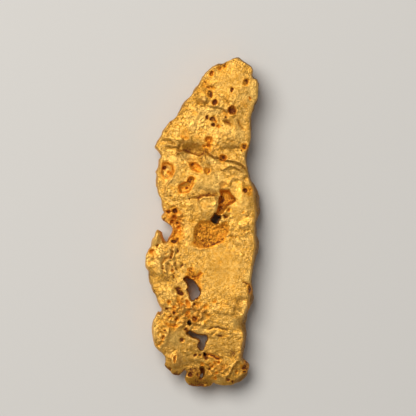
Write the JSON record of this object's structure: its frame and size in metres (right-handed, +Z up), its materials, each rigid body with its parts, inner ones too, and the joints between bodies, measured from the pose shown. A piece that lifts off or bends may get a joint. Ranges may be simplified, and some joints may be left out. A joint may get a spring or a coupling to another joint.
{
  "type": "gold nugget",
  "caption": "Natural gold nugget: a long, flat, worn plate of native metal, pointed at one end, with pits, ledges, ragged rims and holes worn through it, lying on its back",
  "frame": {"origin": "the middle of the nugget's footprint, on the surface that it lies on", "axes": "+Z up, out of the face that is seen; +Y along the nugget's length to its pointed end; +X across it"},
  "size_m": [0.0114, 0.0328, 0.004],
  "materials": {
    "gold": "worn natural gold, satin with bright rims and rust-brown pits"
  },
  "bodies": {
    "root": {"nugget": "gold"}
  },
  "joints": []
}
